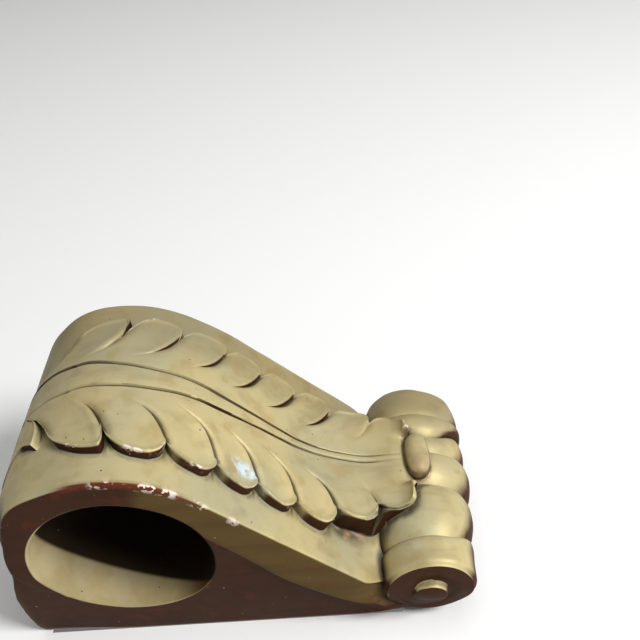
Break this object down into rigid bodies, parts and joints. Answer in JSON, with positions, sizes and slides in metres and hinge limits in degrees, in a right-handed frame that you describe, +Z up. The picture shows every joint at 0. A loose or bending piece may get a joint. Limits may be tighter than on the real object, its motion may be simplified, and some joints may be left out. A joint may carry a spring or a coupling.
{
  "type": "corbel",
  "caption": "S-scroll wall corbel with an acanthus leaf on its face, a ringed roll at its foot and a round bore across its head for a curtain pole.",
  "frame": {"origin": "centre of the flat back face, on the wall", "axes": "+Z up along the wall, -Y out from the wall, X across the width along the pole's axis; the corbel hangs with its bored head up and its roll down"},
  "size_m": [0.0964, 0.0986, 0.175],
  "materials": {
    "corbel": "worn dull gold paint over a dark red ground on cast plaster"
  },
  "bodies": {
    "root": {"corbel": "corbel"}
  },
  "joints": []
}
